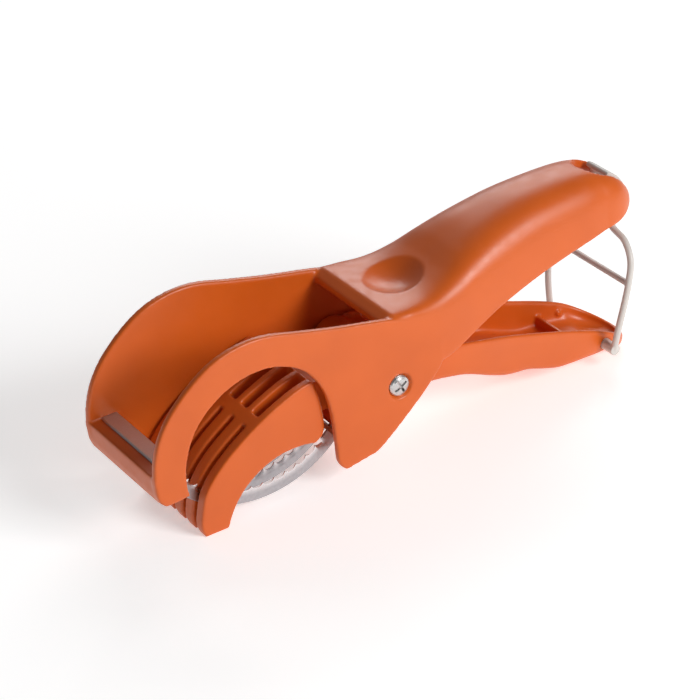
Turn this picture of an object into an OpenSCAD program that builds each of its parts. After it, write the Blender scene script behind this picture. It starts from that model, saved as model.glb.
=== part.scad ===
// Hand-held lever egg slicer. Squeezing the two handles swings a slotted
// pusher down through five curved blades that are strung in the head.
// Side outlines are drawn in X (towards the handle ends) and Z (up), with x = 0
// at the front of the pusher's foot and z = 0 on the table, then centred on X.

/* [Head] */
// Width of the head over both cheeks
head_w = 52; // [50:0.5:54]
// Thickness of the moulded walls
wall = 3; // [2.4:0.1:3.2]
// Height of the front bar's deck, under the blade strip
deck_z = 34.8; // [34:0.2:35.4]

/* [Blades] */
// Distance between two blades
blade_pitch = 7.8; // [7.6:0.1:7.9]
// Thickness of a blade
blade_t = 0.6; // [0.4:0.1:0.7]
// Radius of a blade's lower edge
blade_r = 47; // [46.5:0.1:47.2]
// Width of a blade's strip
blade_w = 6.2; // [5.6:0.1:6.4]

/* [Pusher] */
// Width of the pusher over its side walls
pusher_w = 43.2; // [42:0.2:43.6]
// Width of the narrow slots in the front
slot_w = 2.1; // [1.8:0.1:2.6]
// Width of the wide slots behind the cross rib
wide_slot_w = 4.7; // [4:0.1:5]

/* [Handles] */
// Greatest height of the upper handle
crown_z = 82.2; // [80:0.2:83]
// Half of the lower handle's width near its end
lower_half = 16.2; // [15.5:0.1:17]

/* [Hinge] */
// Radius of the binding post's barrel
post_r = 3; // [2.6:0.1:3.2]
// Radius of the floating sleeve
sleeve_r = 4.4; // [4.2:0.1:4.6]
// Radius of the screw's and the post's heads
head_r = 4.2; // [4:0.1:4.4]

/* [Bail] */
// Radius of the bail's wire
bail_r = 1.3; // [1.1:0.1:1.4]
// Distance from the middle plane to a bail arm
bail_y = 23.4; // [23:0.1:24]

/* [Hidden] */
$fn = 64;

orange = [0.82, 0.36, 0.12];
steel = [0.68, 0.68, 0.7];
bright = [0.8, 0.8, 0.82];
white = [0.92, 0.9, 0.87];

half_w = head_w / 2;
inner = half_w - wall;
blade_count = 5;
origin_x = 93.5;
pivot = [84.9, 33.9];
blade_c = [29.5, 49.9];
bail_pin = [188.5, 8.6];
bail_pin_r = 2.6;
knob_in = 21.9;
knob_out = 24.9;
gap = 0.05;
far = 400;

// Angles on the blade circle: the front end, the holder and the rear end
front_a = 180 + asin((blade_c[1] - deck_z) / blade_r);
holder_a = 314;
rear_a = 315.6;
plate_t = 1.6;

function blade_y(i) = (i - (blade_count + 1) / 2) * blade_pitch;
function polar(c, r, a) = c + r * [cos(a), sin(a)];

// Points of an arc about c, from angle a to angle b
function arc(c, r, a, b, steps = 12) = [for (i = [0:steps]) polar(c, r, a + (b - a) * i / steps)];

// One point of a smooth curve through p1 and p2, with neighbours p0 and p3
function smooth(p0, p1, p2, p3, t) =
    0.5 * (2 * p1 + (p2 - p0) * t + (2 * p0 - 5 * p1 + 4 * p2 - p3) * t * t
        + (3 * p1 - p0 - 3 * p2 + p3) * t * t * t);

// A smooth open curve through all the points p
function curve(p, steps = 2) =
    let (n = len(p) - 1)
    concat([for (i = [0:n - 1], k = [0:steps - 1])
        smooth(p[max(i - 1, 0)], p[i], p[i + 1], p[min(i + 2, n)], k / steps)], [p[n]]);

// The height of a smooth curve through stations [x, value, ...] at x
function at(table, x, column = 1, i = 0) =
    (i >= len(table) - 2 || x <= table[i + 1][0])
        ? let (n = len(table) - 1, j = min(i, n - 1),
            t = (x - table[j][0]) / (table[j + 1][0] - table[j][0]))
          smooth(table[max(j - 1, 0)][column], table[j][column], table[j + 1][column],
            table[min(j + 2, n)][column], t)
        : at(table, x, column, i + 1);

// Stands a side outline up in X and Z, between y = a and y = b
module slab(a, b) {
    translate([-origin_x, b, 0])
        rotate([90, 0, 0])
            linear_extrude(b - a) children();
}

// A cylinder across the tool, about the side point p, between y = a and y = b
module across(p, r, a, b) {
    translate([p[0] - origin_x, b, p[1]])
        rotate([90, 0, 0])
            cylinder(r = r, h = b - a);
}

// A solid through rings of points that all have the same count
module loft(rings) {
    n = len(rings[0]);
    m = len(rings);
    sides = [for (i = [0:m - 2], k = [0:n - 1], s = [0, 1])
        let (a = i * n + k, b = i * n + (k + 1) % n)
        s == 0 ? [a, b, b + n] : [a, b + n, a + n]];
    caps = [[for (k = [n - 1:-1:0]) k], [for (k = [0:n - 1]) (m - 1) * n + k]];
    polyhedron(points = [for (r = rings) each r], faces = concat(sides, caps), convexity = 6);
}

// ---- upper frame: both cheeks, the upper handle, the bars and the legs ----

// Upper edge of a cheek, from the nose over the head to the neck
head_edge = curve([[-16.3, 22.4], [-19.2, 26.5], [-19.8, 36.5], [-17.2, 48], [-11, 58.3],
    [-1, 67.6], [9, 73.4], [20.5, 76], [31, 75.4], [44, 72], [60, 67.8], [80, 63.4],
    [94, 62.2], [104, 64]]);

// Lower edge behind the leg, from the hinge to the leg's foot
rear_edge = curve([[104, 36.4], [97.1, 28.9], [85.7, 18.9], [76.4, 11.6]]);

// Opening in the near cheek, from the foot round to the front tip
arch_edge = curve([[59.5, 7.4], [56.4, 11.5], [55.6, 22], [54.6, 34], [51.6, 45.5], [44.8, 55.4],
    [35.4, 61], [25, 62.8], [14, 60.6], [4.4, 55], [-2.6, 47], [-6.4, 37], [-7.2, 29], [-6.4, 23]]);

// The edge of the front tip and the leg on the closed far cheek
far_edge = [[59.5, 7.4], [56.4, 11.5], [55.2, 14], [46, 11], [34, 9.5], [20, 10], [8, 13], [-2, 18.5], [-6.4, 23]];

module cheek_shape(lower) {
    polygon(concat(head_edge, rear_edge, [[73.2, 9.7]], lower));
}

// Side line of the upper handle's crown and of its lower rim
crown_edge = [[76.4, 61.2], [82.4, 64.2], [93, 63.9], [103, 65.4], [113, 68.6], [124, 73.2], [136, 77.2],
    [152, 80.6], [167, 82], [182, crown_z], [191, 81.1], [198, 78.4], [203.6, 74], [207.4, 68.8], [209, 64.8]];
rim_edge = [[205, 63.9], [197, 61.6], [185.5, 60], [168, 57], [152, 53.6], [136, 49.2], [124, 44.8], [113, 40.4],
    [104, 38.4], [94, 41.6], [82.4, 50], [76.4, 57.4]];

// Plan line of one side of the upper handle, ending on the middle line
side_edge = [[70, 25.6], [104, 25.6], [113, 24.9], [124, 23.4], [136, 21.9], [152, 20.2], [168, 18.8], [182, 17.7],
    [192, 15.8], [199.4, 13.8], [205, 10.4], [208, 7], [209.2, 0]];

// The arch across the handle, from its side up to its middle
arch_line = [[25.6, 30], [25.6, 60], [24.4, 66], [21.8, 71.4], [18.2, 75.8], [13.6, 79.2], [7.6, 81.4], [0, crown_z]];

function mirrored(p) = [for (i = [len(p) - 2:-1:0]) [p[i][0], -p[i][1]]];

// The handle's outer bulk, or its hollow when less is the wall's thickness
module handle_bulk(less) {
    front = less > 0 ? 3 : 0;
    drop = less > 0 ? 20 : 0;
    intersection() {
        slab(-far, far)
            polygon(concat([[76.4 - front, 61.2 - less]],
                [for (p = crown_edge) [p[0] - less * max(0, (p[0] - 182) / 27), p[1] - less]],
                [for (p = rim_edge) [p[0], p[1] - drop]],
                [[76.4 - front, 57.4 - drop]]));
        translate([-origin_x, 0, 0])
            linear_extrude(120)
                polygon([for (p = concat(side_edge, mirrored(side_edge)))
                    [p[0] - less * max(0, (p[0] - 182) / 27), p[1] - less * sign(p[1])]]);
        translate([-far / 2, 0, 0])
            rotate([90, 0, 90])
                linear_extrude(far)
                    polygon(concat([for (p = arch_line) [p[0] - less * sign(p[0]), p[1] - less * (p[1] > 31 ? 1 : 4)]],
                        [for (i = [len(arch_line) - 2:-1:0])
                            [less - arch_line[i][0], arch_line[i][1] - less * (arch_line[i][1] > 31 ? 1 : 4)]]));
    }
}

module upper_handle() {
    difference() {
        handle_bulk(0);
        handle_bulk(wall);
    }
}

// The front bar: a nose wall and the deck that carries the blade ends
module front_bar() {
    slab(-inner - 1, inner + 1)
        polygon([[-18.4, 24.9], [-19.1, 28], [-19.4, deck_z], [-7.8, deck_z], [-7.8, 32.2], [-16.6, 32.2], [-16.2, 25]]);
}

// The web between the legs that backs the rear blade holder
module rear_web() {
    slab(-inner - 1, inner + 1)
        polygon([polar(blade_c, 41.8, holder_a + 3.2), polar(blade_c, 50.5, holder_a + 3.2),
            polar(blade_c, 52.5, holder_a + 8), polar(blade_c, 45, holder_a + 8)]);
}

// Slots that let the blade ends up through the deck
module deck_slots(width) {
    for (i = [1:blade_count])
        translate([-15.4 - origin_x, blade_y(i) - width / 2, deck_z - 4]) cube([9, width, 8]);
}

// The notch at the end of the upper handle that takes the bail's loop
notch_half = 8.4;
notch_x = 187;

module upper_frame() {
    color(orange)
        difference() {
            union() {
                slab(-half_w, -inner) cheek_shape(arch_edge);
                slab(inner, half_w) cheek_shape(far_edge);
                upper_handle();
                front_bar();
                rear_web();
                across(pivot, 8, -inner - 1, -inner + 0.5);
                across(pivot, 8, inner - 0.5, inner + 1);
            }
            across(pivot, post_r + 0.02, -far, far);
            across(pivot, head_r + 0.35, -far, -half_w + 1.8);
            across(pivot, head_r + 0.35, half_w - 1.8, far);
            deck_slots(blade_t + 2 * gap);
            // the open notch, cut through the roof and the end wall
            translate([notch_x + notch_half - origin_x, 0, 40]) cylinder(r = notch_half, h = 60);
            translate([notch_x + notch_half - origin_x, -notch_half, 40])
                cube([60, 2 * notch_half, 60]);
            holder_screw_holes();
        }
}

// ---- blades and their holders ----

teeth_step = 3.6;

module blade(i) {
    color(steel)
        slab(blade_y(i) - blade_t / 2, blade_y(i) + blade_t / 2)
            difference() {
                polygon(concat(arc(blade_c, blade_r, front_a, rear_a, 48),
                    arc(blade_c, blade_r - blade_w, rear_a, front_a - 1.5, 48)));
                for (a = [front_a + 8:teeth_step:rear_a - 6])
                    translate(polar(blade_c, blade_r - blade_w - 0.5, a)) circle(r = 1.25, $fn = 24);
                translate([-40, deck_z]) square([60, 60]);
            }
}

module front_strip() {
    color(steel)
        slab(-inner + 0.1, inner - 0.1)
            translate([-14.8, deck_z]) polygon([[0, 0], [6.8, 0], [6.8, 0.6], [6.4, 0.9], [0.5, 0.9], [0, 0.5]]);
}

// Turns a shape drawn along +X to lie on the blade circle's ray at angle a
module on_ray(a) {
    translate(blade_c) rotate(a) children();
}

module rear_holder() {
    color(steel)
        difference() {
            slab(-inner + 0.1, inner - 0.1)
                on_ray(holder_a) translate([40.2, 0]) square([8.6, plate_t]);
            for (i = [1:blade_count])
                slab(blade_y(i) - blade_t / 2 - gap, blade_y(i) + blade_t / 2 + gap)
                    difference() {
                        translate(blade_c) circle(r = blade_r + 0.1);
                        translate(blade_c) circle(r = blade_r - blade_w - 0.1);
                    }
            holder_screw_holes();
        }
}

screw_y = [-11.7, 11.7];
screw_ray = 45.4;

// Places its children on each holder screw's axis, which points out of the head
module at_holder_screws() {
    spot = polar(blade_c, screw_ray, holder_a);
    for (y = screw_y)
        translate([spot[0] - origin_x, y, spot[1]]) rotate([0, 360 - holder_a, 0]) children();
}

module holder_screw_holes() {
    at_holder_screws() translate([0, 0, -1]) cylinder(r = 1.3 + gap, h = 30);
}

module holder_screws() {
    color(bright)
        at_holder_screws() {
            cylinder(r = 1.3, h = 7.2);
            translate([0, 0, 7.2 + gap]) cylinder(r = 2.4, h = 1.4);
        }
}

// ---- hinge ----

module pivot_post() {
    color(bright)
        difference() {
            union() {
                across(pivot, post_r, -half_w + 1.9, half_w - 1.2);
                across(pivot, head_r, half_w - 1.75, half_w - 0.3);
            }
            across(pivot, 1.6 + gap, -far, 6);
        }
}

module pivot_screw() {
    dome_r = 12;
    dome_y = -half_w + 0.35 + dome_r;
    color(bright)
        difference() {
            union() {
                across(pivot, 1.6, -half_w + 1, 2);
                intersection() {
                    across(pivot, head_r, -half_w, -half_w + 1.75);
                    translate([pivot[0] - origin_x, dome_y, pivot[1]]) sphere(r = dome_r);
                }
            }
            // the cross recess
            for (turn = [0, 90])
                translate([pivot[0] - origin_x, -half_w, pivot[1]])
                    rotate([0, turn + 20, 0]) cube([4.2, 2.4, 0.9], center = true);
        }
}

module washer(y) {
    color(bright)
        difference() {
            across(pivot, 6.6, y - 0.2, y + 0.2);
            across(pivot, post_r + 0.1, -far, far);
        }
}

module near_washer() {
    washer(-inner + 0.75);
}

module far_washer() {
    washer(inner - 0.75);
}

hub_half = inner - 1.05;

module pivot_sleeve() {
    color(white)
        difference() {
            across(pivot, sleeve_r, -hub_half, hub_half);
            across(pivot, post_r + gap, -far, far);
        }
}

// ---- lever: the lower handle, the arm and the slotted pusher in one moulding ----

// Outer edge of the pusher, from its foot to the rear corner
pusher_edge = curve([[0.4, 0], [-0.9, 4.1], [0, 10.5], [2.2, 17.6], [8, 25], [16.7, 32.2], [29, 39.8], [41.4, 45.3],
    [49.4, 47.4]]);
pusher_rear = curve([[50.6, 46.2], [52.6, 38.4], [53.6, 31], [53.6, 26], [52.6, 23]]);
pusher_c = [40.1, -8.7];
pusher_r = 31;

module pusher_shape() {
    polygon(concat(pusher_edge, pusher_rear, arc(pusher_c, pusher_r, 72.5, 162.6, 12), [[10.2, 0]]));
}

// The slots leave one cross rib standing, whose square section lies between their outlines
narrow_slot = [[-10, -10], [17, -10], [23.5, 12], [27.4, 32], [25.55, 32.9], [22.75, 37.7], [20, 60], [-10, 60]];
wide_slot = [[21.5, 12], [27.8, 34.2], [30.05, 35.5], [27.25, 40.3], [28, 60], [48.6, 60], [50.4, 29.6], [60, 29.6],
    [60, 12]];

module pusher_slots() {
    for (i = [1:blade_count]) {
        slab(blade_y(i) - slot_w / 2, blade_y(i) + slot_w / 2) polygon(narrow_slot);
        slab(blade_y(i) - wide_slot_w / 2, blade_y(i) + wide_slot_w / 2) polygon(wide_slot);
    }
}

// Side outline of the arm between the pusher and the hub
module arm_shape() {
    polygon([[51.5, 31.6], [76, 31.6], [84.9, 27], [84.9, 41], [78, 41.2], [70, 40.6], [60, 42.2], [51.2, 45.4]]);
}

// Side outline of the lower handle
lower_rim = [[86, 41.2], [98, 40.4], [114.2, 37.8], [130.3, 33.8], [147.4, 28.9], [164.6, 23], [178.8, 17.2],
    [188.8, 12.6], [196.6, 8], [204.6, 3.4]];
lower_base = [[204.6, 2.6], [201, 0.4], [196, 0], [188.5, 2.4], [179.9, 5.4], [171.1, 7.4], [159.7, 9.9], [153, 11],
    [146, 13.4], [139.7, 15.4], [131.2, 17.6], [119.8, 22.4], [108.5, 25.6], [99.5, 26.6], [86, 27]];

module lower_shape() {
    polygon(concat(lower_rim, lower_base));
}

// Plan outline of the lower handle, drawn in X and Y
lower_end = 189;
lower_side = curve([[84.9, 21.2], [108, 21.4], [124, 20.4], [144, 18], [164, 16.6],
    [178, lower_half], [lower_end, 15.6]]);

module lower_plan(less) {
    translate([-origin_x, 0])
        polygon(concat(
            [for (p = lower_side) [p[0], p[1] - less]],
            [for (a = [75:-15:-75]) [lower_end + (15.8 - less) * cos(a), (15.6 - less) * sin(a)]],
            [for (i = [len(lower_side) - 1:-1:0]) [lower_side[i][0], less - lower_side[i][1]]]));
}

lower_wall = 2.4;

module lower_handle() {
    difference() {
        intersection() {
            slab(-half_w, half_w) lower_shape();
            translate([0, 0, -1]) linear_extrude(60) lower_plan(0);
        }
        // the open channel, with one cross rib left standing
        difference() {
            intersection() {
                slab(-half_w, half_w)
                    translate([0, lower_wall + 0.6]) lower_shape();
                translate([0, 0, -1]) linear_extrude(80) lower_plan(lower_wall);
                translate([97 - origin_x, -far / 2, -1]) cube([far, far, 100]);
            }
            slab(-half_w, half_w) polygon([[170, 0], [172, 0], [172, 14.5], [170, 15.2]]);
        }
        translate([97 - origin_x, -inner + 4.2, 33]) cube([30, 2 * inner - 8.4, 30]);
    }
}

spring_half = 7.4;

module lever() {
    color(orange)
        difference() {
            union() {
                difference() {
                    slab(-pusher_w / 2, pusher_w / 2) pusher_shape();
                    pusher_slots();
                }
                slab(-pusher_w / 2 + 2.6, pusher_w / 2 - 2.6) arm_shape();
                across(pivot, 8.8, -hub_half, hub_half);
                lower_handle();
            }
            across(pivot, sleeve_r + gap, -far, far);
            // pocket for the spring's coil and its two legs
            across(pivot, 9.2, -spring_half, spring_half);
            translate([pivot[0] - origin_x, -spring_half, pivot[1] - 4.5]) cube([16, 2 * spring_half, 30]);
            // hollow arm, open from below
            translate([56 - origin_x, -15, 20]) cube([17, 30, 17.6]);
                        across(bail_pin, bail_pin_r + gap, -far, far);
        }
    // two small round bosses inside the far wall
    color(orange)
        for (x = [166.5, 175])
            translate([x - origin_x, 11, x < 170 ? 17 : 14]) rotate([-90, 0, 0]) cylinder(r = 1.3, h = 4.4);
}

spring_wire = 0.8;
spring_turns = 6;
spring_coil_r = 6.6;

// A tube of radius r that is swept along the points p, in eight sides
module tube(p, r, aside) {
    n = len(p);
    dirs = [for (i = [0:n - 1]) let (d = p[min(i + 1, n - 1)] - p[max(i - 1, 0)]) d / norm(d)];
    rings = [for (i = [0:n - 1])
        let (side = cross(dirs[i], aside), u = side / norm(side), v = cross(u, dirs[i]))
        [for (k = [0:7]) p[i] + r * (cos(45 * k) * u + sin(45 * k) * v)]];
    loft(rings);
}

module return_spring() {
    c = [pivot[0] - origin_x, 0, pivot[1]];
    rise = 2 * spring_wire + 0.1;
    steps = 12;
    start_y = -spring_turns * rise / 2;
    helix = [for (i = [0:spring_turns * steps])
        let (a = 100 - 360 * i / steps)
        c + [spring_coil_r * cos(a), start_y + rise * i / steps, spring_coil_r * sin(a)]];
    roof_leg = [c + [21.4, start_y - 0.4, 19.6], c + [10, start_y - 0.2, 11]];
    floor_leg = [c + [10, -start_y + 0.3, 4], c + [26, -start_y + 0.6, 1]];
    color(bright) tube(concat(roof_leg, helix, floor_leg), spring_wire, [0, 1, 0.001]);
}

// ---- bail: the loop that hooks over the upper handle and holds the tool shut ----

// Route of one side of the loop, from its pin up to the middle of the crown
function bail_side(s) = [[188.5, s * bail_y, 8.6], [191, s * bail_y, 24], [193.3, s * bail_y, 39],
    [195.2, s * (bail_y - 1.4), 47], [196.1, s * (bail_y - 6), 53], [196.4, s * 10.4, 55.8],
    [197, s * 6.4, 59.6], [198, s * 5.9, 66], [198.9, s * 5.4, 72], [199.5, s * 3.2, 75]];
crossbar = [193.2, 38.4];

function backwards(p) = [for (i = [len(p) - 1:-1:0]) p[i]];

module bail() {
    route = curve(concat(bail_side(-1), backwards(bail_side(1))));
    color(white) {
        tube([for (p = route) [p[0] - origin_x, p[1], p[2]]], bail_r, [1, 0, 0]);
        across(crossbar, bail_r - 0.3, 0.4 - bail_y, bail_y - 0.4);
        // thumb tab that fills the crown
        translate([198.6 - origin_x, 0, 68]) rotate([0, 8, 0])
            translate([-0.9, -6, 0]) cube([1.8, 12, 6.6]);
        for (s = [-1, 1])
            across(bail_pin, bail_pin_r + 0.6, min(s * knob_in, s * knob_out), max(s * knob_in, s * knob_out));
    }
}

// The bail's two round pins, which turn in the lower handle's side walls
module bail_pins() {
    color(white)
        for (s = [-1, 1])
            across(bail_pin, bail_pin_r, min(s * 13, s * knob_in), max(s * 13, s * knob_in));
}

upper_frame();
lever();
blade(1);  // blade_1
blade(2);  // blade_2
blade(3);  // blade_3
blade(4);  // blade_4
blade(5);  // blade_5
front_strip();
rear_holder();
holder_screws();
pivot_post();
pivot_screw();
near_washer();
far_washer();
pivot_sleeve();
return_spring();
bail();
bail_pins();
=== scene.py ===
"""Hand-held egg slicer: moulded orange frame and lever, curved steel blades, off-white bail."""
import math

import bmesh
import bpy
import numpy as np
from mathutils import Matrix, Vector


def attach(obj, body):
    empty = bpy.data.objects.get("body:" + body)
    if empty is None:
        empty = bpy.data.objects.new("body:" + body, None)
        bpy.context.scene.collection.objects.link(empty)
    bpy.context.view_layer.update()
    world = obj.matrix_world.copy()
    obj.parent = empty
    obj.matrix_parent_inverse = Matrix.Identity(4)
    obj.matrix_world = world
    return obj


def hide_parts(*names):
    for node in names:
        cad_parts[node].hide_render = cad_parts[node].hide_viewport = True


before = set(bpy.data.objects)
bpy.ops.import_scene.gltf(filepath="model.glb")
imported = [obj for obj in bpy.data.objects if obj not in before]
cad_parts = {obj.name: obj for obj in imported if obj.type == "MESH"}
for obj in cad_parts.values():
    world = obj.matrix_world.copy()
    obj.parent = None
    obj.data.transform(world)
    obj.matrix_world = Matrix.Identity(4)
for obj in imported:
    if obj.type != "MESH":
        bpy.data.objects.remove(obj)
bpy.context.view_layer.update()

MM = 0.001
# The side outlines below are drawn in millimetres with x = 0 at the front of the
# pusher's foot; this shift puts them in the part's own frame.
SHIFT_X = 93.5
HALF_W = 26.0
WALL = 3.0
INNER = HALF_W - WALL
PIVOT = (84.9, 33.9)
BLADE_C = (29.5, 49.9)
BLADE_R = 47.0
BLADE_W = 6.2
BLADE_COUNT = 5
BLADE_PITCH = 7.8
BLADE_Y = [(i - (BLADE_COUNT - 1) / 2) * BLADE_PITCH for i in range(BLADE_COUNT)]
BAIL_PIN = (188.5, 8.6)
BAIL_Y = 24.6
DECK_Z = 34.8
# How far a cutter reaches past the tool on either side, and how far a part of a moulding
# reaches into its neighbour
PAST = 40
BITE = 1
# Net size in millimetres and number of smoothing passes of each moulding
UPPER_NET = (0.6, 8)
LEVER_NET = (0.52, 6)
BAIL_NET = (0.32, 3)
# Least value of a closing end's squared width, so that its last ring is not a point
SLIVER = 0.0009


# ---------------------------------------------------------------- curves

def smooth_line(points, steps=8):
    """Catmull-Rom curve through the points: each span is the cubic that passes its two
    ends with slopes half the distance between their neighbours."""
    p = np.asarray(points, float)
    before = np.vstack([p[:1], p[:-2]])
    after = np.vstack([p[2:], p[-1:]])
    t = (np.arange(steps) / steps)[None, :, None]
    p0, p1, p2, p3 = (a[:, None, :] for a in (before, p[:-1], p[1:], after))
    spans = 0.5 * (2 * p1 + (p2 - p0) * t + (2 * p0 - 5 * p1 + 4 * p2 - p3) * t ** 2
                   + (3 * p1 - p0 - 3 * p2 + p3) * t ** 3)
    return np.vstack([spans.reshape(-1, p.shape[1]), p[-1:]])


def arc_line(centre, radius, start, stop, count=24):
    """Points of a circle about the centre, from one angle in degrees to another."""
    a = np.radians(np.linspace(start, stop, count))
    return np.column_stack([centre[0] + radius * np.cos(a), centre[1] + radius * np.sin(a)])


def polar(centre, radius, angle):
    """The point at a radius and an angle in degrees from the centre."""
    a = math.radians(angle)
    return (centre[0] + radius * math.cos(a), centre[1] + radius * math.sin(a))


def along(table, x):
    """Heights or widths at x, read off a smooth line through the table's points."""
    line = smooth_line(table, 12)
    return np.interp(x, line[:, 0], line[:, 1])


def arch(power, side, top):
    """Half a superellipse, |u|^p + w^p = 1 with w from 0 up and back to 0, one row for each
    power. Its two flanks have even steps in w and its crown has even steps in u."""
    p = power[:, None]
    corner = 0.5 ** (1 / p)
    flank = corner * np.linspace(0, 1, side)[None, :-1]
    crown = corner * np.linspace(1, -1, top)[None]
    flank_u = (1 - flank ** p) ** (1 / p)
    u = np.hstack([flank_u, crown, -flank_u[:, ::-1]])
    w = np.hstack([flank, (1 - np.abs(crown) ** p) ** (1 / p), flank[:, ::-1]])
    return u, w


# ---------------------------------------------------------------- meshes

def grid_quads(rows, cols, wrap=False):
    """Quads that join a grid of rows by cols vertices, closed across the columns if wrap."""
    last = cols if wrap else cols - 1
    i, k = np.meshgrid(np.arange(rows - 1), np.arange(last), indexing="ij")
    nxt = (k + 1) % cols
    quads = np.stack([i * cols + k, i * cols + nxt, (i + 1) * cols + nxt, (i + 1) * cols + k], -1)
    return quads.reshape(-1, 4).tolist()


def end_caps(rows, cols):
    """The two faces that close the first and the last ring of a wrapped grid."""
    last = (rows - 1) * cols
    return [list(range(cols)), list(range(last, last + cols))]


def mesh_of(name, points, faces):
    """A mesh from points in the drawing's millimetres, put in the part's frame in metres."""
    place = (np.asarray(points, float) - [SHIFT_X, 0, 0]) * MM
    mesh = bpy.data.meshes.new(name)
    mesh.from_pydata(place.tolist(), [], faces)
    mesh.update()
    return mesh


def object_of(name, mesh):
    """An object for the mesh, at the origin."""
    piece = bpy.data.objects.new(name, mesh)
    bpy.context.scene.collection.objects.link(piece)
    return piece


def outward(piece):
    """Turns every face of a closed mesh outwards."""
    work = bmesh.new()
    work.from_mesh(piece.data)
    bmesh.ops.recalc_face_normals(work, faces=work.faces)
    work.to_mesh(piece.data)
    work.free()
    return piece


def swept(name, rings):
    """A closed solid from an array of rings, each joined to the next and the two ends capped."""
    rows, cols = rings.shape[:2]
    faces = grid_quads(rows, cols, wrap=True) + end_caps(rows, cols)
    return outward(object_of(name, mesh_of(name, rings.reshape(-1, 3), faces)))


def plate(name, outline, low, high):
    """A flat plate: a side outline in x and z carried straight from y = low to y = high."""
    line = np.asarray(outline, float)
    rings = [np.column_stack([line[:, 0], np.full(len(line), y), line[:, 1]]) for y in (low, high)]
    return swept(name, np.stack(rings))


def rod(name, centre, radius, low, high, count=64):
    """A round bar across the tool: a circle about a side point, from y = low to y = high."""
    return plate(name, arc_line(centre, radius, 0, 360, count + 1)[:-1], low, high)


def box_part(name, low, high):
    """A plain block between two corners."""
    return plate(name, [(low[0], low[2]), (high[0], low[2]), (high[0], high[2]), (low[0], high[2])],
                 low[1], high[1])


def half_round(one, two, lip, steps=5):
    """Points of a low arch from each point of one row to its fellow in another: part way
    (1 - cos t) / 2 of the span, and 0.42 * sin t of it up or down, as lip is 1 or -1."""
    span = np.linalg.norm(two - one, axis=1)[:, None]
    turn = np.linspace(0, np.pi, steps + 2)[1:-1]
    return np.stack([one + (two - one) * (1 - math.cos(t)) / 2 + span * [0, 0, 0.42 * lip * math.sin(t)]
                     for t in turn], 1)


def shell(name, outer, inner, lip, steps=5):
    """A thin wall between two grids of points. A half round joins the grids along both rims,
    bulging up or down as lip is 1 or -1. The first rows are joined by a flat end. The last
    rows are each closed by a cap, and one more face joins the two caps under the rims."""
    cols = outer.shape[1]
    ring = np.concatenate([outer, half_round(outer[:, -1], inner[:, -1], lip, steps), inner[:, ::-1],
                           half_round(inner[:, 0], outer[:, 0], lip, steps)], 1)
    rows, around = ring.shape[:2]
    first, last = end_caps(rows, around)
    inner_start, inner_end = cols + steps, 2 * cols + steps
    faces = grid_quads(rows, around, wrap=True)
    faces += [first, last[:cols], last[inner_start:inner_end],
              last[cols - 1:inner_start + 1] + last[inner_end - 1:] + last[:1]]
    return outward(object_of(name, mesh_of(name, ring.reshape(-1, 3), faces)))


def tube(name, path, radius, aside, sides=24):
    """A round wire: a circle of the given radius carried along the path, square to it. The
    circle's first axis is square to the path and to the direction aside."""
    p = np.asarray(path, float)
    way = np.gradient(p, axis=0)
    way /= np.linalg.norm(way, axis=1)[:, None]
    u = np.cross(way, aside)
    u /= np.linalg.norm(u, axis=1)[:, None]
    v = np.cross(u, way)
    a = (np.arange(sides) * 2 * np.pi / sides)[None, :, None]
    return swept(name, p[:, None] + radius * (np.cos(a) * u[:, None] + np.sin(a) * v[:, None]))


def drop(*pieces):
    """Deletes the pieces and their meshes."""
    for piece in pieces:
        mesh = piece.data
        bpy.data.objects.remove(piece)
        bpy.data.meshes.remove(mesh)


def settled(piece):
    """Makes the piece's modifiers permanent in its mesh."""
    graph = bpy.context.evaluated_depsgraph_get()
    graph.update()
    done = bpy.data.meshes.new_from_object(piece.evaluated_get(graph))
    old = piece.data
    piece.modifiers.clear()
    piece.data = done
    bpy.data.meshes.remove(old)
    return piece


def carved(piece, cutters):
    """Cuts the cutters out of the piece one after the other, and leaves them in place."""
    for cutter in cutters:
        cut = piece.modifiers.new("cut", "BOOLEAN")
        cut.operation = "DIFFERENCE"
        cut.solver = "EXACT"
        cut.object = cutter
    return settled(piece)


def moulded(name, parts, net):
    """One moulding from overlapping closed parts: their joint skin is drawn again on a fine
    even net, and smoothing passes round its edges as a mould does."""
    voxel, passes = net
    work = bmesh.new()
    for part in parts:
        work.from_mesh(part.data)
    mesh = bpy.data.meshes.new(name)
    work.to_mesh(mesh)
    work.free()
    drop(*parts)
    piece = object_of(name, mesh)
    skin = piece.modifiers.new("skin", "REMESH")
    skin.mode = "VOXEL"
    skin.voxel_size = voxel * MM
    skin.use_smooth_shade = True
    soft = piece.modifiers.new("soft", "SMOOTH")
    soft.factor = 0.5
    soft.iterations = passes
    settled(piece)
    piece.data.polygons.foreach_set("use_smooth", [True] * len(piece.data.polygons))
    return piece


# ---------------------------------------------------------------- upper frame

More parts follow.
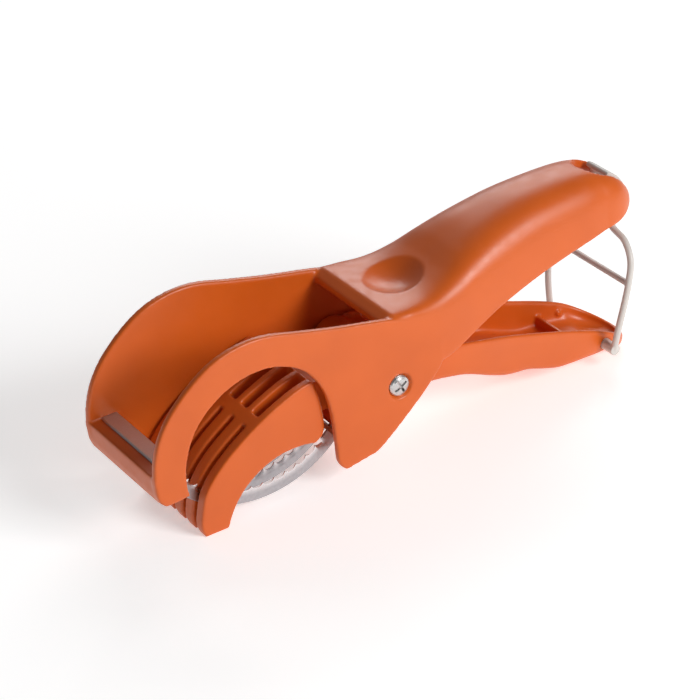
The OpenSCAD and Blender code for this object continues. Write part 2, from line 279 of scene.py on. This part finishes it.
# Side outlines of the cheeks: over the head, behind the leg, the near cheek's arch and
# the far cheek's lower edge
HEAD_EDGE = [(-16.3, 22.4), (-19.2, 26.5), (-19.8, 36.5), (-17.2, 48), (-11, 58.3), (-1, 67.6), (9, 73.4),
             (20.5, 76), (31, 75.4), (44, 72), (60, 68), (76, 64.6), (84, 62.6), (90, 59.5), (97, 53),
             (104, 46)]
REAR_EDGE = [(104, 36.4), (97.1, 28.9), (85.7, 18.9), (76.4, 11.6)]
LEG_FOOT = (73.2, 9.7)
ARCH_EDGE = [(59.5, 7.4), (56.4, 11.5), (55.6, 22), (54.6, 34), (51.6, 45.5), (44.8, 55.4), (35.4, 61),
             (25, 62.8), (14, 60.6), (4.4, 55), (-2.6, 47), (-6.4, 37), (-7.2, 29), (-6.4, 23)]
FAR_EDGE = [(59.5, 7.4), (56.4, 11.5), (55.2, 14), (46, 11), (34, 9.5), (20, 10), (8, 13), (-2, 18.5),
            (-6.4, 23)]
# The front bar that carries the steel strip, and the web between the cheeks behind the
# blades: radius and angle of its corners about the blades' centre
FRONT_BAR = [(-18.6, 24.0), (-19.4, 28), (-19.6, DECK_Z), (-7.8, DECK_Z), (-7.8, 32.2), (-16.6, 32.2),
             (-16.2, 24.2)]
REAR_WEB = [(41.8, 317.2), (50.5, 317.2), (52.5, 322), (45, 322)]

# The handle's crown, lower rim and half width against x
CROWN = [(82.4, 64.2), (93, 63.5), (103, 64), (113, 67.1), (124, 72.3), (136, 76.8),
         (152, 80.6), (167, 82), (182, 82.2), (191, 81.1), (198, 78.4), (203.6, 74), (207.4, 68.8),
         (209, 65.2)]
RIM = [(76.4, 57.4), (82.4, 50), (94, 41.6), (104, 38.4), (113, 40.4), (124, 44.8), (136, 49.2), (152, 53.6),
       (168, 57), (185.5, 60), (197, 61.6), (205, 63.9), (209, 64.9)]
HALF = [(76.4, 26), (94, 26), (104, 25.8), (113, 24.9), (124, 23.4), (136, 21.9), (152, 20.2), (168, 18.8),
        (182, 17.6), (190, 16.4)]
END_X = 190.0
TIP_X = 208.9
# The neck's sloping front lip: where it starts, its height there, its slope and its end
LIP_X, LIP_Z, LIP_SLOPE, LIP_END = 80.2, 61.4, 0.66, 84.4
# The thumb's hollow: its middle, its two half lengths and its depth
HOLLOW_X, HOLLOW_RX, HOLLOW_RY, HOLLOW_DEPTH = 100.6, 11.8, 12.0, 3.2
# The notch in the handle's end: its half width, where it starts, and how far its cutter
# reaches out and from low to high
NOTCH_HALF = 8.4
NOTCH_X = 187.0
NOTCH_OUT = 230
NOTCH_SPAN = (40.0, 100.0)
HINGE_HOLE_R = 3.3
SCREW_SEAT_R = 5.1
SCREW_SEAT_DEPTH = 1.6


def handle_grid(less):
    """The upper handle's skin. At each x its cross-section is a superellipse arch from rim to
    rim, |y/half|^p + |(z - rim)/(crown - rim)|^p = 1, where p falls from a boxy neck to a
    round grip. The half width closes on an ellipse-like curve at the end. The thumb's hollow
    is a paraboloid, depth * (1 - q) with q = (dx/rx)^2 + (y/ry)^2 below 1, that sinks into
    the neck. p = 2.75 + 9 * exp(-(x - 92) / 15). The amount less is the distance inwards."""
    turn = np.linspace(0, 1, 34)
    x = np.concatenate([np.linspace(LIP_X, LIP_END, 6)[:-1], np.linspace(LIP_END, END_X, 160)[:-1],
                        END_X + (TIP_X - END_X - less) * np.sin(turn * np.pi / 2)])
    fade = np.clip((x - END_X) / (TIP_X - END_X - less), 0, 1)
    half = (along(HALF, np.minimum(x, END_X)) - less) * np.sqrt(np.maximum(1 - fade ** 2.2, SLIVER))
    low = along(RIM, x)
    roof = np.where(x < LIP_END, LIP_Z + (x - LIP_X) * LIP_SLOPE, along(CROWN, x))
    high = np.maximum(roof - less, low + 0.35)
    power = 2.75 + 9 * np.exp(-np.maximum(x - 92, 0) / 15)
    across, rise = arch(power, 40, 90)
    y = half[:, None] * across
    z = low[:, None] + (high - low)[:, None] * rise
    q = ((x[:, None] - HOLLOW_X) / HOLLOW_RX) ** 2 + (y / HOLLOW_RY) ** 2
    z = z - HOLLOW_DEPTH * np.clip(1 - q, 0, 1) * (rise > 0.5)
    return np.stack([np.broadcast_to(x[:, None], y.shape), y, z], -1)


def notch_cutter():
    """The open notch in the handle's end: a slot with a round start, carried straight down."""
    bend = arc_line((NOTCH_X + NOTCH_HALF, 0), NOTCH_HALF, 90, 270, 20)
    plan = np.vstack([[(NOTCH_OUT, NOTCH_HALF)], bend, [(NOTCH_OUT, -NOTCH_HALF)]])
    return swept("notch", np.stack([np.column_stack([plan, np.full(len(plan), z)]) for z in NOTCH_SPAN]))


def upper_body():
    """Two cheek plates, the handle's shell, the front bar and the rear web as one moulding."""
    back = np.vstack([smooth_line(HEAD_EDGE), smooth_line(REAR_EDGE), [LEG_FOOT]])
    near = plate("near", np.vstack([back, smooth_line(ARCH_EDGE)]), -HALF_W, -INNER)
    far = plate("far", np.vstack([back, smooth_line(FAR_EDGE, 4)]), INNER, HALF_W)
    grip = shell("grip", handle_grid(0), handle_grid(WALL), -1)
    notch = notch_cutter()
    carved(grip, [notch])
    reach = INNER + BITE
    bar = plate("bar", FRONT_BAR, -reach, reach)
    web = plate("web", [polar(BLADE_C, *corner) for corner in REAR_WEB], -reach, reach)
    floor_y = HALF_W - SCREW_SEAT_DEPTH
    bores = [rod("hole", PIVOT, HINGE_HOLE_R, -PAST, PAST),
             rod("seat", PIVOT, SCREW_SEAT_R, -PAST, -floor_y),
             rod("seat", PIVOT, SCREW_SEAT_R, floor_y, PAST)]
    for cheek in (near, far):
        carved(cheek, bores)
    drop(notch, *bores)
    return moulded("upper_body", [near, far, grip, bar, web], UPPER_NET)


# ---------------------------------------------------------------- lever

# Side outlines of the pusher, of the arm behind it and of the two kinds of cut in the
# pusher: thin ones for the blades and wider ones between its ribs
PUSHER_EDGE = [(0.4, 0), (-0.9, 4.1), (0, 10.5), (2.2, 17.6), (8, 25), (16.7, 32.2), (29, 39.8),
               (41.4, 45.3), (49.4, 47.4)]
PUSHER_REAR = [(50.6, 46.2), (52.6, 38.4), (53.6, 31), (53.6, 26), (52.6, 23)]
PUSHER_HEEL = (10.2, 0)
PUSHER_HALF = 21.6
# The arc of the pusher's underside: its centre, its radius and its first and last angle
UNDER_C = (40.1, -8.7)
UNDER_R = 31
UNDER_SPAN = (72.5, 162.6)
ARM_HALF = 19
BLOCK = [(84.9, 27), (97, 26.6), (97, 40.2), (84.9, 41)]
BLOCK_HALF = 21.0
ARM = [(51.5, 31.6), (76, 31.6), (84.9, 27), (84.9, 41), (78, 41.2), (70, 40.6), (60, 42.2), (51.2, 45.4)]
NARROW = [(-10, -10), (17, -10), (23.5, 12), (27.4, 32), (25.55, 32.9), (22.75, 37.7), (20, 60), (-10, 60)]
NARROW_HALF = 1.05
WIDE = [(21.5, 12), (27.8, 34.2), (30.05, 35.5), (27.25, 40.3), (28, 60), (48.6, 60), (50.4, 29.6),
        (60, 29.6), (60, 12)]
WIDE_HALF = 2.35
# The lower handle's rim, base and half width against x
LOWER_RIM = [(86, 41.2), (98, 40.2), (114.2, 36.8), (125, 34.2), (137.8, 30.6), (150.4, 26.6), (167.1, 21.2),
             (180.4, 16.5), (189, 12.8), (196.6, 8.4), (204.6, 3.4)]
LOWER_BASE = [(86, 27), (99.5, 26.4), (106.3, 25.7), (112.5, 24.4), (117.7, 23), (122.9, 20.8), (130.5, 17),
              (138, 13.8), (143.8, 12.4), (149.9, 11.4), (157.4, 8.6), (165, 5.9), (171.1, 5), (179.9, 4),
              (188.5, 2.2), (196, 0.1), (201, 0.5), (204.6, 2.6)]
LOWER_HALF = [(86, 21.2), (108, 21.4), (124, 20.4), (144, 18), (164, 16.6), (178, 16.2), (189, 15.7)]
LOWER_END = 189.0
LOWER_TIP = 204.8
LOWER_WALL = 2.4
LOWER_FLOOR = 3.0
# The rib across the lower handle and the two bosses beside the far bail hole
RIB = [(175.8, 7), (178, 6.8), (178, 12.2), (175.8, 13)]
RIB_HALF = 14.4
BOSSES = [(186.6, 10.6), (189.3, 7.1)]
BOSS_R = 1.2
BOSS_SPAN = (12.2, 14.2)
HUB_R = 8.8
HUB_HALF = 21.95
BORE_R = 4.7
POCKET_R = 9.2
POCKET_HALF = 7.4
BAIL_HOLE_R = 2.5
BAIL_HOLE_Y = 14.3
# Two opposite corners of the spring pocket's mouth and of the hollow under the arm
MOUTH = ((84.9, -POCKET_HALF, 29.4), (101, POCKET_HALF, 60))
HOLLOW = ((56, -15, 20), (73, 15, 37.6))


def lower_grid(x_from, less, lift):
    """The lower handle's skin, a trough. At each x its cross-section is a superellipse from rim
    down to base and up again: its power falls from a squarish 14 to a round 3 towards the
    end, where its half width closes on an ellipse. The walls stand inwards by the amount
    less, and the base stands higher by lift."""
    turn = np.linspace(0, 1, 30)
    x = np.concatenate([np.linspace(x_from, LOWER_END, 80)[:-1],
                        LOWER_END + (LOWER_TIP - LOWER_END - less) * np.sin(turn * np.pi / 2)])
    fade = np.clip((x - LOWER_END) / (LOWER_TIP - LOWER_END - less), 0, 1)
    half = (along(LOWER_HALF, np.minimum(x, LOWER_END)) - less) * np.sqrt(np.maximum(1 - fade ** 2, SLIVER))
    rim = along(LOWER_RIM, x)
    base = np.minimum(along(LOWER_BASE, x) + lift, rim - 0.3)
    across, fall = arch(np.interp(x, [158, 190], [14, 3]), 20, 30)
    y = half[:, None] * across
    z = rim[:, None] - (rim - base)[:, None] * fall
    return np.stack([np.broadcast_to(x[:, None], y.shape), y, z], -1)


def pusher_part():
    """The pusher: a thick plate whose underside is an arc, cut by a thin slot and a wide one
    in line with every blade."""
    under = arc_line(UNDER_C, UNDER_R, *UNDER_SPAN)
    outline = np.vstack([smooth_line(PUSHER_EDGE), smooth_line(PUSHER_REAR), under, [PUSHER_HEEL]])
    pusher = plate("pusher", outline, -PUSHER_HALF, PUSHER_HALF)
    for y in BLADE_Y:
        for cut, half in ((NARROW, NARROW_HALF), (WIDE, WIDE_HALF)):
            slot = plate("slot", cut, y - half, y + half)
            carved(pusher, [slot])
            drop(slot)
    return pusher


def lever_body():
    """Pusher, arm, hub and lower handle as one moulding, with its bore, spring pocket, arm
    hollow and blind bail holes."""
    pusher = pusher_part()
    arm = plate("arm", ARM, -ARM_HALF, ARM_HALF)
    hub = rod("hub", PIVOT, HUB_R, -HUB_HALF, HUB_HALF)
    trough = shell("trough", lower_grid(90, 0, 0), lower_grid(93, LOWER_WALL, LOWER_FLOOR), 1)
    block = plate("block", BLOCK, -BLOCK_HALF, BLOCK_HALF)
    rib = plate("rib", RIB, -RIB_HALF, RIB_HALF)
    bosses = [rod("boss", centre, BOSS_R, *BOSS_SPAN, 24) for centre in BOSSES]
    bore = rod("bore", PIVOT, BORE_R, -PAST, PAST)
    pocket = rod("pocket", PIVOT, POCKET_R, -POCKET_HALF, POCKET_HALF)
    mouth = box_part("mouth", *MOUTH)
    hollow = box_part("hollow", *HOLLOW)
    bail_holes = [rod("bail_hole", BAIL_PIN, BAIL_HOLE_R, low, high)
                  for low, high in ((-PAST, -BAIL_HOLE_Y), (BAIL_HOLE_Y, PAST))]
    carved(arm, [hollow])
    for part in (arm, hub, block):
        carved(part, [bore, pocket, mouth])
    carved(trough, bail_holes)
    drop(bore, pocket, mouth, hollow, *bail_holes)
    return moulded("lever_body", [pusher, arm, hub, trough, block, rib] + bosses, LEVER_NET)


# ---------------------------------------------------------------- blades, spring, screw and bail

# Degrees of arc that one tooth takes, and the angle at which the blades end
TOOTH = 6.9
BLADE_STOP = 315.6


def blade(index):
    """A curved blade: an arc strip whose inner half is ground in round scallops. Each scallop
    spans one tooth; across the strip the half thickness falls from 0.4 at the grind line
    to the edge as 0.4 - 0.36 * g^0.7 * (0.3 + 0.7 * b), and the ground part moves back into
    the strip by 1.3 * (1 - (1 - b)^1.4) * g^2, where g runs 0 to 1 over the grind and b = |sin|
    is the scallop's bow. The grind fades out over 2 degrees near either end, and the back is
    eased to 0.3. Every radius starts where it meets the front deck."""
    y0 = BLADE_Y[index]
    across = np.array([0, 0.03, 0.3, 0.46, 0.5, 0.58, 0.68, 0.78, 0.87, 0.94, 1.0])
    part = np.linspace(0, 1, 620)[:, None]
    radius = BLADE_R - across[None] * BLADE_W
    front = 180 + np.degrees(np.arcsin((BLADE_C[1] - DECK_Z) / radius))
    angle = front + part * (BLADE_STOP - front)
    bow = np.abs(np.sin(np.radians(angle * 180 / TOOTH)))
    clear = np.clip((angle - 205) / 2, 0, 1) * np.clip((309.5 - angle) / 2, 0, 1)
    grind = np.clip((across - 0.46) / 0.54, 0, 1)[None] * clear
    r = radius + 1.3 * (1 - (1 - bow) ** 1.4) * grind ** 2
    thick = 0.4 - 0.36 * grind ** 0.7 * (0.3 + 0.7 * bow)
    thick[:, 0] = 0.3
    ca, sa = np.cos(np.radians(angle)), np.sin(np.radians(angle))
    x, z = BLADE_C[0] + r * ca, np.minimum(BLADE_C[1] + r * sa, DECK_Z)
    left = np.stack([x, y0 - thick, z], -1)
    right = np.stack([x, y0 + thick, z], -1)
    piece = swept("steel_blade_%d" % (index + 1), np.concatenate([left, right[:, ::-1]], 1))
    ground = np.concatenate([grind, grind[:, ::-1]], 1)
    piece.data.attributes.new("ground", "FLOAT", "POINT").data.foreach_set("value", ground.ravel())
    return piece


def spring():
    """The return spring: a helix round the hinge's axis with one leg up to the roof and one
    leg down to the lower handle. The helix turns 360 degrees while it moves one rise along y."""
    wire, turns, coil = 0.8, 6, 6.6
    rise = 2 * wire + 0.1
    t = np.linspace(0, turns, turns * 36 + 1)
    a = np.radians(100 - 360 * t)
    start = -turns * rise / 2
    cx, cz = PIVOT
    helix = np.column_stack([cx + coil * np.cos(a), start + rise * t, cz + coil * np.sin(a)])
    up = [(cx + 19, start - 0.4, cz + 14.5), (cx + 9.5, start - 0.2, cz + 9.6)]
    down = [(cx + 10, -start + 0.3, cz + 4), (cx + 26, -start + 0.6, cz + 1)]
    return tube("coil_spring", np.vstack([up, helix, down]), wire, (0, 1, 0.001), 16)


# The hinge screw's turned profile: radius and y from the middle of its head to the end of
# its shank, and half the length, half the width and the floor of its cross recess
SCREW_PROFILE = [(0.02, -26.3), (1.6, -26.25), (2.9, -26.0), (3.8, -25.6), (4.3, -25.1), (4.3, -24.5),
                 (1.9, -24.5), (1.9, -14.0), (0.02, -14.0)]
RECESS_LONG = 2.9
RECESS_HALF = 0.5
RECESS_FLOOR = -24.9
RECESS_TILTS = (28, 118)


def hinge_screw():
    """The hinge screw: its profile turned about the hinge's axis, with a cross recess."""
    radius, y = np.array(SCREW_PROFILE).T[:, :, None]
    a = np.arange(64) * 2 * np.pi / 64
    rings = np.stack([PIVOT[0] + radius * np.cos(a), np.broadcast_to(y, (len(y), len(a))),
                      PIVOT[1] + radius * np.sin(a)], -1)
    screw = swept("hinge_screw", rings)
    for tilt in RECESS_TILTS:
        c, s = math.cos(math.radians(tilt)), math.sin(math.radians(tilt))
        corners = ((-RECESS_LONG, -RECESS_HALF), (RECESS_LONG, -RECESS_HALF), (RECESS_LONG, RECESS_HALF),
                   (-RECESS_LONG, RECESS_HALF))
        arm = [(PIVOT[0] + u * c - v * s, PIVOT[1] + u * s + v * c) for u, v in corners]
        cutter = plate("recess", arm, -30, RECESS_FLOOR)
        carved(screw, [cutter])
        drop(cutter)
    return screw


# One side of the bail's wire, from its pin to the middle of its crown, and the side line of
# its thumb tab, above and below
BAIL_SIDE = [(188.5, 20.8, 8.6), (189.4, 23, 20), (191, 24.4, 30), (192.6, 25, 38.6), (194.8, 23.6, 47.2),
             (196.3, 18.2, 53.2), (196.6, 10.4, 55.8), (197, 6.4, 59.6), (198, 5.9, 66), (198.9, 5.4, 72),
             (199.5, 3.2, 75)]
BAIL_WIRE_R = 1.35
BAIL_CROSS = (192.6, 38.4)
BAIL_CROSS_R = 1.25
TAB_TOP = [(197, 77.2), (198.4, 77.7), (202.5, 74.6), (205.6, 69.8), (206.4, 66.2)]
TAB_UNDER = [(196.8, 76.4), (197.8, 75.2), (200.8, 72.3), (203.3, 68.6), (204, 65.8)]
TAB_HALF = 6.6
STUB_R = 2.3
STUB_SPAN = (14.4, 21.9)


def bail_loop():
    """The bail: a round wire from pin to pin over the crown, with a cross bar, a wide thumb
    tab that follows the crown, and a round stub at each end."""
    side = np.array(BAIL_SIDE)
    route = smooth_line(np.vstack([side * [1, -1, 1], side[::-1]]), 8)
    tab_outline = np.vstack([smooth_line(TAB_TOP), smooth_line(TAB_UNDER)[::-1]])
    parts = [tube("wire", route, BAIL_WIRE_R, (1, 0, 0)),
             rod("cross", BAIL_CROSS, BAIL_CROSS_R, -BAIL_Y, BAIL_Y, 32),
             plate("tab", tab_outline, -TAB_HALF, TAB_HALF)]
    for side_sign in (-1, 1):
        low, high = sorted(side_sign * y for y in STUB_SPAN)
        parts.append(rod("stub", BAIL_PIN, STUB_R, low, high, 48))
    return moulded("bail_loop", parts, BAIL_NET)


# ---------------------------------------------------------------- materials

# Stretches of the rolled lines: finer along y, and even in every direction
ALONG_Y = (1, 8, 1)
EVEN = (1, 1, 1)


def fresh_material(name):
    """A material with one Principled shader, and its nodes, links and shader."""
    material = bpy.data.materials.new(name)
    material.use_nodes = True
    nodes = material.node_tree.nodes
    nodes.clear()
    out = nodes.new("ShaderNodeOutputMaterial")
    shader = nodes.new("ShaderNodeBsdfPrincipled")
    material.node_tree.links.new(shader.outputs[0], out.inputs[0])
    return material, nodes, material.node_tree.links, shader


def noise(nodes, links, scale, detail=3.0, stretch=(1, 1, 1)):
    """A noise pattern fixed to the piece; stretch makes it finer along an axis."""
    place = nodes.new("ShaderNodeTexCoord")
    turn = nodes.new("ShaderNodeMapping")
    turn.inputs["Scale"].default_value = stretch
    links.new(place.outputs["Object"], turn.inputs["Vector"])
    texture = nodes.new("ShaderNodeTexNoise")
    texture.inputs["Scale"].default_value = scale
    texture.inputs["Detail"].default_value = detail
    links.new(turn.outputs[0], texture.inputs["Vector"])
    return texture.outputs["Fac"]


def spread(nodes, links, value, low, high):
    """Maps a texture's middle range onto low..high."""
    ramp = nodes.new("ShaderNodeMapRange")
    for key, bound in {"From Min": 0.3, "From Max": 0.7, "To Min": low, "To Max": high}.items():
        ramp.inputs[key].default_value = bound
    links.new(value, ramp.inputs["Value"])
    return ramp.outputs[0]


def tint(nodes, links, value, one, two, shader):
    """Sets the base colour between two colours by a value from 0 to 1."""
    mix = nodes.new("ShaderNodeMix")
    mix.data_type = "RGBA"
    mix.inputs["A"].default_value = (*one, 1)
    mix.inputs["B"].default_value = (*two, 1)
    links.new(value, mix.inputs["Factor"])
    links.new(mix.outputs["Result"], shader.inputs["Base Color"])


def relief(nodes, links, value, strength, shader, distance):
    """Turns a pattern into a fine relief of the surface."""
    bump = nodes.new("ShaderNodeBump")
    bump.inputs["Strength"].default_value = strength
    bump.inputs["Distance"].default_value = distance
    links.new(value, bump.inputs["Height"])
    links.new(bump.outputs[0], shader.inputs["Normal"])


def moulded_plastic(name, one, two, rough, grain):
    """Satin moulded plastic: a slow change of tone, a fine spark-eroded grain in the surface
    and a slightly uneven gloss."""
    material, nodes, links, shader = fresh_material(name)
    tint(nodes, links, spread(nodes, links, noise(nodes, links, 45, 2), 0, 1), one, two, shader)
    links.new(spread(nodes, links, noise(nodes, links, 260, 4), rough - 0.05, rough + 0.06),
              shader.inputs["Roughness"])
    relief(nodes, links, noise(nodes, links, 5200, 2), grain, shader, 0.00003)
    shader.inputs["IOR"].default_value = 1.5
    return material


def brushed_metal(name, one, two, rough, stretch, depth):
    """Rolled steel: fine lines along the rolling direction in tone, gloss and relief."""
    material, nodes, links, shader = fresh_material(name)
    lines = noise(nodes, links, 900, 4, stretch)
    tint(nodes, links, spread(nodes, links, lines, 0, 1), one, two, shader)
    links.new(spread(nodes, links, noise(nodes, links, 320, 3, stretch), rough - 0.07, rough + 0.08),
              shader.inputs["Roughness"])
    relief(nodes, links, lines, depth, shader, 0.00004)
    shader.inputs["Metallic"].default_value = 1.0
    return material


def ground_steel(name):
    """Blade steel: rolled sheet that turns smoother where the mesh attribute ground rises from 0 to 1
    over the hollow-ground teeth, and is painted lighter there as a painted highlight of their glints."""
    material = brushed_metal(name, (0.50, 0.50, 0.52), (0.43, 0.43, 0.45), 0.34, ALONG_Y, 0.12)
    nodes, links = material.node_tree.nodes, material.node_tree.links
    shader = next(node for node in nodes if node.bl_idname == "ShaderNodeBsdfPrincipled")
    mark = nodes.new("ShaderNodeAttribute")
    mark.attribute_name = "ground"
    # Over the ground teeth the base colour goes to a light grey, a painted highlight of their glints; the
    # lower roughness there is the grind's own gloss.
    for socket, value in (("Base Color", (0.86, 0.86, 0.87, 1)), ("Roughness", 0.2)):
        source = shader.inputs[socket].links[0].from_socket
        mix = nodes.new("ShaderNodeMix")
        mix.data_type = "RGBA" if socket == "Base Color" else "FLOAT"
        sides = [port for port in mix.inputs if port.enabled]
        links.new(mark.outputs["Fac"], sides[0])
        links.new(source, sides[1])
        sides[2].default_value = value
        links.new(next(port for port in mix.outputs if port.enabled), shader.inputs[socket])
    return material


orange = moulded_plastic("orange_plastic", (0.68, 0.118, 0.010), (0.63, 0.106, 0.008), 0.36, 0.3)
white = moulded_plastic("white_plastic", (0.66, 0.62, 0.58), (0.61, 0.57, 0.53), 0.34, 0.3)
blade_steel = ground_steel("blade_steel")
strip_steel = brushed_metal("strip_steel", (0.62, 0.62, 0.63), (0.56, 0.56, 0.57), 0.42, ALONG_Y, 0.15)
screw_steel = brushed_metal("screw_steel", (0.66, 0.65, 0.64), (0.55, 0.54, 0.54), 0.26, EVEN, 0.15)
spring_steel = brushed_metal("spring_steel", (0.52, 0.52, 0.54), (0.42, 0.42, 0.44), 0.3, (1, 4, 1), 0.2)


# ---------------------------------------------------------------- pieces

def finish_piece(piece, material, body, slot, *nodes):
    """Gives a made piece its material and the body it moves with, and hides the CAD nodes it stands
    for. Its slot is not used."""
    piece.data.materials.clear()
    piece.data.materials.append(material)
    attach(piece, body)
    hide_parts(*nodes)


finish_piece(upper_body(), orange, "frame", "orange_plastic", "upper_frame")
finish_piece(lever_body(), orange, "lever", "orange_plastic", "lever")
finish_piece(bail_loop(), white, "bail", "white_plastic", "bail", "bail_pins")
finish_piece(spring(), spring_steel, "lever", "spring_steel", "return_spring")
finish_piece(hinge_screw(), screw_steel, "frame", "screw_steel", "pivot_screw")
for number in range(BLADE_COUNT):
    finish_piece(blade(number), blade_steel, "frame", "blade_steel", "blade_%d" % (number + 1))

# CAD nodes that keep their own mesh
KEPT_NODES = {"front_strip": strip_steel, "rear_holder": strip_steel, "holder_screws": screw_steel,
              "pivot_post": screw_steel, "near_washer": screw_steel, "far_washer": screw_steel,
              "pivot_sleeve": white}
for node, finish in KEPT_NODES.items():
    for place in bpy.data.objects[node].material_slots:
        place.material = finish


# ---------------------------------------------------------------- stage

FLOOR_HALF = 6.0
FLOOR_GLOW = 0.42
# Camera: its axes and its place in the drawing's millimetres, its lens and its sensor
CAMERA_RIGHT = (0.8340, -0.5485, -0.0595)
CAMERA_UP = (0.3231, 0.3982, 0.8585)
CAMERA_BACK = (-0.4473, -0.7353, 0.5093)
CAMERA_PLACE = (-373.0, -744.5, 555.2)
LENS = 138.86
SENSOR = 36.0
# Lamps: place in metres, size and power in watts
LAMPS = {"key": ((0.5, -1.2, 0.75), (0.6, 0.6), 15.5),
         "sheen": ((0.9, 1.3, 0.95), (1.2, 0.8), 12)}
LAMP_TARGET = (0, 0, 0.03)


def floor():
    """A pale, faintly glowing floor under the tool and far beyond it."""
    size = FLOOR_HALF
    corners = [(-size, -size, 0), (size, -size, 0), (size, size, 0), (-size, size, 0)]
    mesh = bpy.data.meshes.new("floor")
    mesh.from_pydata(corners, [], [(0, 1, 2, 3)])
    ground = object_of("floor", mesh)
    material, nodes, links, shader = fresh_material("floor")
    tint(nodes, links, noise(nodes, links, 3, 2), (0.95, 0.95, 0.95), (0.97, 0.97, 0.97), shader)
    shader.inputs["Roughness"].default_value = 0.9
    shader.inputs["Emission Color"].default_value = (1, 1, 1, 1)
    shader.inputs["Emission Strength"].default_value = FLOOR_GLOW
    mesh.materials.append(material)


def soft_light(name, place, size, watts):
    """A white rectangular lamp that faces the tool."""
    lamp = bpy.data.lights.new(name, "AREA")
    lamp.shape = "RECTANGLE"
    lamp.size, lamp.size_y = size
    lamp.energy = watts
    holder = bpy.data.objects.new(name, lamp)
    bpy.context.scene.collection.objects.link(holder)
    holder.location = place
    holder.rotation_euler = (Vector(LAMP_TARGET) - Vector(place)).to_track_quat("-Z", "Y").to_euler()


def camera():
    """The camera: its three axes, its place and a long lens."""
    view = Matrix((CAMERA_RIGHT, CAMERA_UP, CAMERA_BACK)).transposed().to_4x4()
    view.translation = (Vector(CAMERA_PLACE) - Vector((SHIFT_X, 0, 0))) * MM
    data = bpy.data.cameras.new("camera")
    data.sensor_width = SENSOR
    data.lens = LENS
    data.clip_end = 50
    holder = bpy.data.objects.new("camera", data)
    bpy.context.scene.collection.objects.link(holder)
    holder.matrix_world = view
    bpy.context.scene.camera = holder


def studio():
    """A grey horizon all round that falls to a dimmer ceiling, and two soft lamps."""
    world = bpy.data.worlds.new("studio")
    bpy.context.scene.world = world
    world.use_nodes = True
    nodes, links = world.node_tree.nodes, world.node_tree.links
    place = nodes.new("ShaderNodeTexCoord")
    split = nodes.new("ShaderNodeSeparateXYZ")
    links.new(place.outputs["Generated"], split.inputs[0])
    ramp = nodes.new("ShaderNodeMapRange")
    ramp.interpolation_type = "SMOOTHSTEP"
    for key, value in {"From Min": 0.1, "From Max": 0.8, "To Min": 0.24, "To Max": 0.14}.items():
        ramp.inputs[key].default_value = value
    links.new(split.outputs["Z"], ramp.inputs["Value"])
    links.new(ramp.outputs[0], nodes["Background"].inputs["Strength"])
    nodes["Background"].inputs["Color"].default_value = (1, 1, 1, 1)
    for name, lamp in LAMPS.items():
        soft_light(name, *lamp)


floor()
camera()
studio()
bpy.context.scene.view_settings.view_transform = "Standard"
